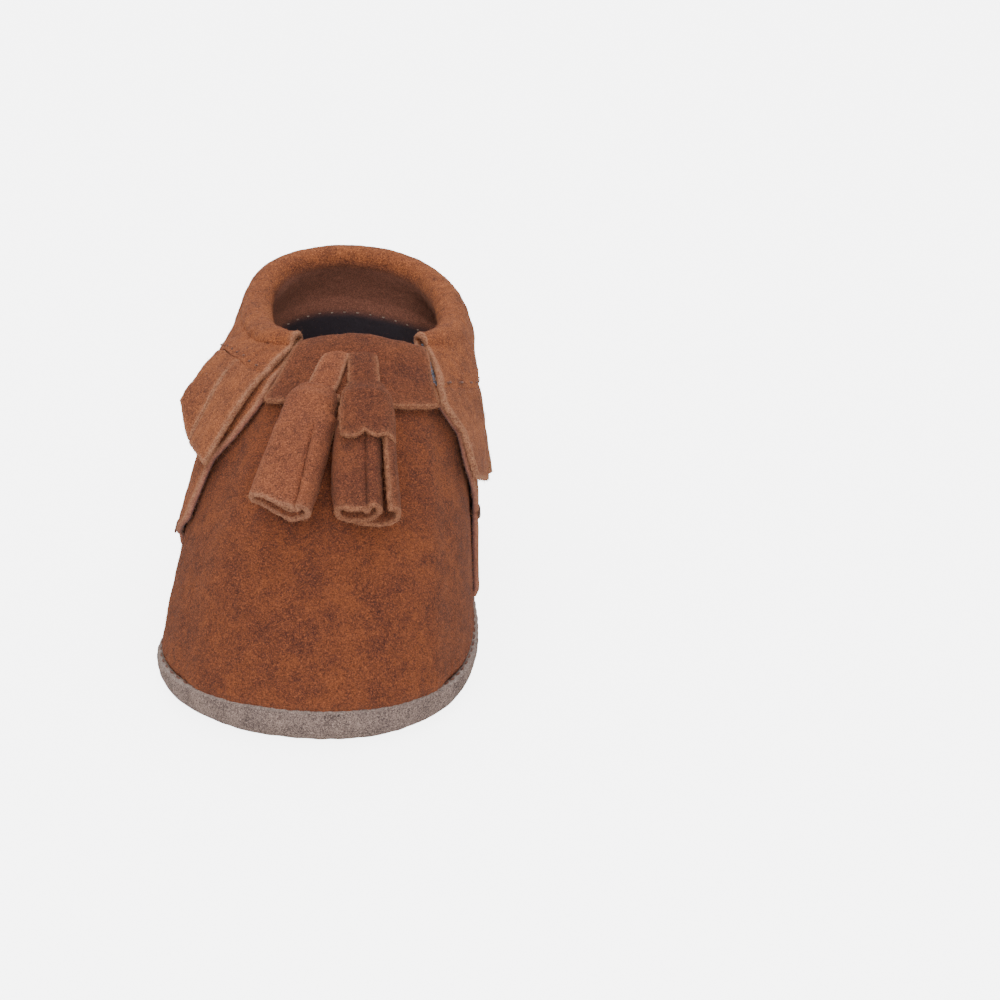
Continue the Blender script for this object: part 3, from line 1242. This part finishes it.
def suede(name, base, dark, warm, fuzz, grain=1.0, lining=None, patch=.75, seed=0.0):
    """Suede: lining is the colours of the inner face, half way in and fully in."""
    base, dark, warm, fuzz = (srgb(*colour) for colour in (base, dark, warm, fuzz))
    shader = Shader(name)
    ramp, multiply = shader.ramp, shader.multiply
    where = shader.vector_math('ADD', shader.attribute("rest", "Vector"), (seed, seed * .7, -seed))
    big = shader.noise(where, scale=.11, detail=3, rough=.6)
    middle = shader.noise(where, scale=.27, detail=4, rough=.62, distortion=.5)
    small = shader.noise(where, scale=1.4, detail=4, rough=.7)
    fine = shader.noise(where, scale=3.6, detail=3, rough=.75)
    combed = shader.vector_math('MULTIPLY', where, (1.0, 1.0, .55))
    fibre = shader.noise(combed, scale=9.0, detail=2, rough=.7, distortion=.8)
    raw, edge, hair = (shader.attribute(key) for key in ("raw", "edge", "hair"))
    colour = shader.mix(ramp(big, start=.34, end=.66), base, warm)

    # patches, then the light tips and dark roots of the nap
    layers = (
        # pattern, none at, full at, strength, colour
        (middle, .42, .66, patch, dark),
        (small, .40, .72, .55, warm),
        (small, .52, .30, .5, dark),
        (fine, .50, .34, .75 * grain, shade(dark, .38)),
        (fine, .53, .68, .75 * grain, shade(warm, 1.9)),
        (fibre, .62, .80, .60 * grain, fuzz))
    for pattern, none_at, full_at, strength, target in layers:
        colour = shader.mix(multiply(ramp(pattern, none_at, full_at), strength), colour, target)

    # rubbed band near the cut edges, the pale cut face and its dark flecks
    near_edge = multiply(ramp(edge, start=1.1, end=0.0),
                         ramp(shader.noise(where, scale=1.8, detail=3), start=.35, end=.62))
    cut_face = multiply(ramp(raw, start=.15, end=.8),
                        ramp(shader.noise(where, scale=1.5, detail=4, rough=.7),
                             start=.30, end=.62, low=.18, high=1.0))
    flecks = multiply(ramp(raw, start=.3, end=.8),
                      ramp(shader.noise(where, scale=3.5, detail=3), start=.56, end=.40))
    # mask, strength, colour
    for mask, strength, target in ((near_edge, .30, fuzz), (cut_face, .72, fuzz),
                                   (flecks, .6, dark)):
        colour = shader.mix(multiply(mask, strength), colour, target)

    if lining:
        inner = shader.attribute("inner")
        half_way, fully = (srgb(*inside) for inside in lining)
        rough = shader.mix(ramp(fine, start=.42, end=.62), shade(half_way, .55), half_way)
        colour = shader.mix(ramp(inner, start=0.0, end=.5), colour, rough)
        colour = shader.mix(ramp(inner, start=.5, end=1.0), colour, fully)
    hair_strength, hair_shade = .55, 1.15
    colour = shader.mix(multiply(hair, hair_strength), colour, shade(fuzz, hair_shade))

    # shares of the three grains in the relief
    small_share, fine_share, fibre_share = .35, .50, .25
    relief = shader.math('ADD', multiply(fine, fine_share), multiply(fibre, fibre_share))
    relief = shader.math('ADD', multiply(small, small_share), relief)
    return shader.finish({
        "Base Color": colour, "Roughness": .94, "Specular IOR Level": .05, "Sheen Weight": .05,
        "Sheen Roughness": .5, "Sheen Tint": (1, .72, .52, 1),
        "Normal": shader.bump(relief, strength=.85, distance=.00042)})


def thread(name, base, light):
    base, light = srgb(*base), srgb(*light)
    shader = Shader(name)
    rest = shader.attribute("rest", "Vector")
    coarse = shader.noise(rest, scale=2.5, detail=3, rough=.6)
    fine = shader.noise(rest, scale=10.0, detail=2, rough=.6)
    colour = shader.mix(shader.ramp(coarse, start=.35, end=.68), base, light)
    dark_strength, dark_shade = .4, .4
    colour = shader.mix(shader.multiply(shader.ramp(fine, start=.5, end=.3), dark_strength),
                        colour, shade(base, dark_shade))
    return shader.finish({
        "Base Color": colour, "Roughness": .8, "Specular IOR Level": .2, "Sheen Weight": .15,
        "Normal": shader.bump(fine, strength=.4, distance=.0002)})


def elastic_web():
    shader = Shader("elastic_web")
    rest = shader.attribute("rest", "Vector")
    bands = shader.node("ShaderNodeTexWave", {
        "Vector": rest, "Scale": .9, "Distortion": 1.5, "Detail": 2.0},
        bands_direction='Z').outputs[0]
    colour = shader.mix(bands, srgb(92, 100, 116), srgb(124, 131, 146))
    mottle_strength = .5
    mottle = shader.multiply(shader.noise(rest, scale=3.0, detail=3, rough=.6), mottle_strength)
    colour = shader.mix(mottle, colour, srgb(76, 82, 96))
    return shader.finish({
        "Base Color": colour, "Roughness": .75, "Sheen Weight": .2,
        "Normal": shader.bump(bands, strength=.7, distance=.0003)})


# red, green, blue of each suede, 0..255; seed shifts its pattern
SUEDES = {
    "suede_upper": dict(base=(103, 58, 42), dark=(69, 41, 37), warm=(129, 73, 46),
                        fuzz=(170, 118, 86), lining=((110, 74, 62), (58, 48, 48))),
    "suede_collar": dict(base=(124, 71, 48), dark=(84, 49, 40), warm=(152, 90, 56),
                         fuzz=(184, 134, 104), seed=7.0,
                         lining=((176, 118, 98), (66, 60, 66))),
    "suede_fold": dict(base=(98, 56, 43), dark=(66, 41, 37), warm=(120, 70, 47),
                       fuzz=(172, 118, 86), seed=19.0, patch=.6),
    "suede_fringe": dict(base=(122, 71, 48), dark=(84, 50, 41), warm=(150, 90, 58),
                         fuzz=(180, 132, 102), seed=13.0),
    "suede_tassel": dict(base=(116, 67, 49), dark=(80, 48, 42), warm=(142, 85, 58),
                         fuzz=(178, 128, 98), seed=29.0, patch=.5),
    "suede_sole": dict(base=(120, 104, 98), dark=(78, 68, 65), warm=(142, 122, 112),
                       fuzz=(186, 170, 160), grain=1.25, seed=41.0),
    "footbed": dict(base=(64, 44, 34), dark=(40, 28, 24), warm=(76, 54, 42),
                    fuzz=(96, 74, 60), grain=.5, seed=53.0),
}
THREADS = {
    "thread_light": dict(base=(214, 206, 190), light=(236, 230, 218)),
    "thread_inside": dict(base=(150, 128, 112), light=(184, 164, 148)),
    "thread_dark": dict(base=(86, 54, 42), light=(120, 80, 60)),
}


def paint():
    materials = {slot: suede(slot + "_mat", **look) for slot, look in SUEDES.items()}
    materials["elastic"] = elastic_web()
    for slot, look in THREADS.items():
        materials[slot] = thread(slot + "_mat", **look)
    for obj, slot in PAINTED:
        obj.data.materials.clear()
        obj.data.materials.append(materials[slot])


# ---------------------------------------------------------------------------
# stage: floor, world, lights and camera, in metres
# ---------------------------------------------------------------------------
FLOOR_HALF_WIDTH = 3.0
FLOOR_FRONT = -1.6
COVE_START, COVE_RADIUS = .55, .5    # the floor curves up into the backdrop
BACKDROP_TOP = 2.2


def floor_material():
    shader = Shader("stage_floor_mat")
    place = shader.node("ShaderNodeTexCoord").outputs["Object"]
    colour = shader.mix(shader.noise(place, scale=30.0, detail=2),
                        (.80, .80, .81, 1), (.86, .86, .87, 1))
    seen = shader.node("ShaderNodeLightPath").outputs["Is Camera Ray"]
    glow, extra_seen_by_camera = .35, 4.6
    return shader.finish({
        "Base Color": colour, "Roughness": .7, "Specular IOR Level": .2,
        "Emission Color": (1, 1, 1, 1),
        "Emission Strength": shader.math('ADD', shader.multiply(seen, extra_seen_by_camera), glow)})


def make_floor():
    profile = [(FLOOR_FRONT, 0.0), (COVE_START, 0.0)]
    for k in range(1, 13):
        angle = k / 12 * pi / 2
        profile.append((COVE_START + COVE_RADIUS * math.sin(angle),
                        COVE_RADIUS - COVE_RADIUS * math.cos(angle)))
    profile.append((COVE_START + COVE_RADIUS, BACKDROP_TOP))
    verts = [(x, y, z) for y, z in profile for x in (-FLOOR_HALF_WIDTH, FLOOR_HALF_WIDTH)]
    faces = [(2 * i, 2 * i + 1, 2 * i + 3, 2 * i + 2) for i in range(len(profile) - 1)]
    mesh = bpy.data.meshes.new("stage_floor")
    mesh.from_pydata(verts, [], faces)
    mesh.polygons.foreach_set("use_smooth", np.ones(len(faces), bool))
    obj = bpy.data.objects.new("stage_floor", mesh)
    bpy.context.scene.collection.objects.link(obj)
    mesh.materials.append(floor_material())


def make_world():
    world = bpy.data.worlds.new("stage_world")
    bpy.context.scene.world = world
    world.use_nodes = True
    background = world.node_tree.nodes["Background"]
    background.inputs["Color"].default_value = (.93, .95, 1.0, 1)
    background.inputs["Strength"].default_value = .55


def area_light(name, place, target, size, power, colour):
    light = bpy.data.lights.new(name, 'AREA')
    light.shape = 'RECTANGLE'
    light.size, light.size_y = size
    light.energy = power
    light.color = colour
    obj = bpy.data.objects.new(name, light)
    bpy.context.scene.collection.objects.link(obj)
    obj.location = place
    obj.rotation_mode = 'QUATERNION'
    obj.rotation_quaternion = (Vector(target) - Vector(place)).to_track_quat('-Z', 'Y')


def make_lights():
    area_light("key", place=(-.35, -.35, .85), target=(0, 0, .03), size=(.6, .6),
               power=3.9, colour=(1, .985, .97))
    area_light("top", place=(.10, .35, 1.0), target=(0, 0, .03), size=(.8, .6),
               power=7.5, colour=(.97, .98, 1.0))
    area_light("front", place=(.10, -.90, .52), target=(0, .03, .05), size=(.3, .3),
               power=5.6, colour=(1, .98, .98))


def make_camera():
    """Camera in front of the toe, looking down toward +Y and a little to +X."""
    tilt = math.radians(27)
    aim_right, aim_down = .04923315, .001382954    # slopes away from the tilted axis
    axis = Vector((0, math.cos(tilt), -math.sin(tilt)))
    right = Vector((1, 0, 0))
    upward = Vector((0, math.sin(tilt), math.cos(tilt)))
    view = (axis + right * aim_right - upward * aim_down).normalized()
    right = (right - axis * aim_right).normalized()
    upward = right.cross(view).normalized()
    camera = bpy.data.cameras.new("cam")
    camera.sensor_width = 36
    camera.lens = 130.1562
    camera.clip_start, camera.clip_end = .05, 20
    obj = bpy.data.objects.new("cam", camera)
    bpy.context.scene.collection.objects.link(obj)
    matrix = Matrix((right, upward, -view)).transposed().to_4x4()
    matrix.translation = Vector((-.0032969, -.668255, .365639))
    obj.matrix_world = matrix
    bpy.context.scene.camera = obj


make_outsole()
make_pad()
make_vamp()
cuff_line = make_quarter()
for strip_number in range(1, 17):
    make_strip(strip_number)
make_flap()
make_thong("left", start=-.36, end=-.56, top_width=4.4, low_width=5.2)
make_thong("right", start=.28, end=.36, top_width=5.2, low_width=5.3)
left_wrap()
left_roll()
right_roll()
right_core()
right_layer()
right_cap()
make_elastic()
make_elastic_end()
make_casing_stitches(cuff_line)
make_seam_stitches()
make_tack("side_tack_inner", 3.75)
make_tack("side_tack_outer", 12.6)
paint()
make_floor()
make_world()
make_lights()
make_camera()
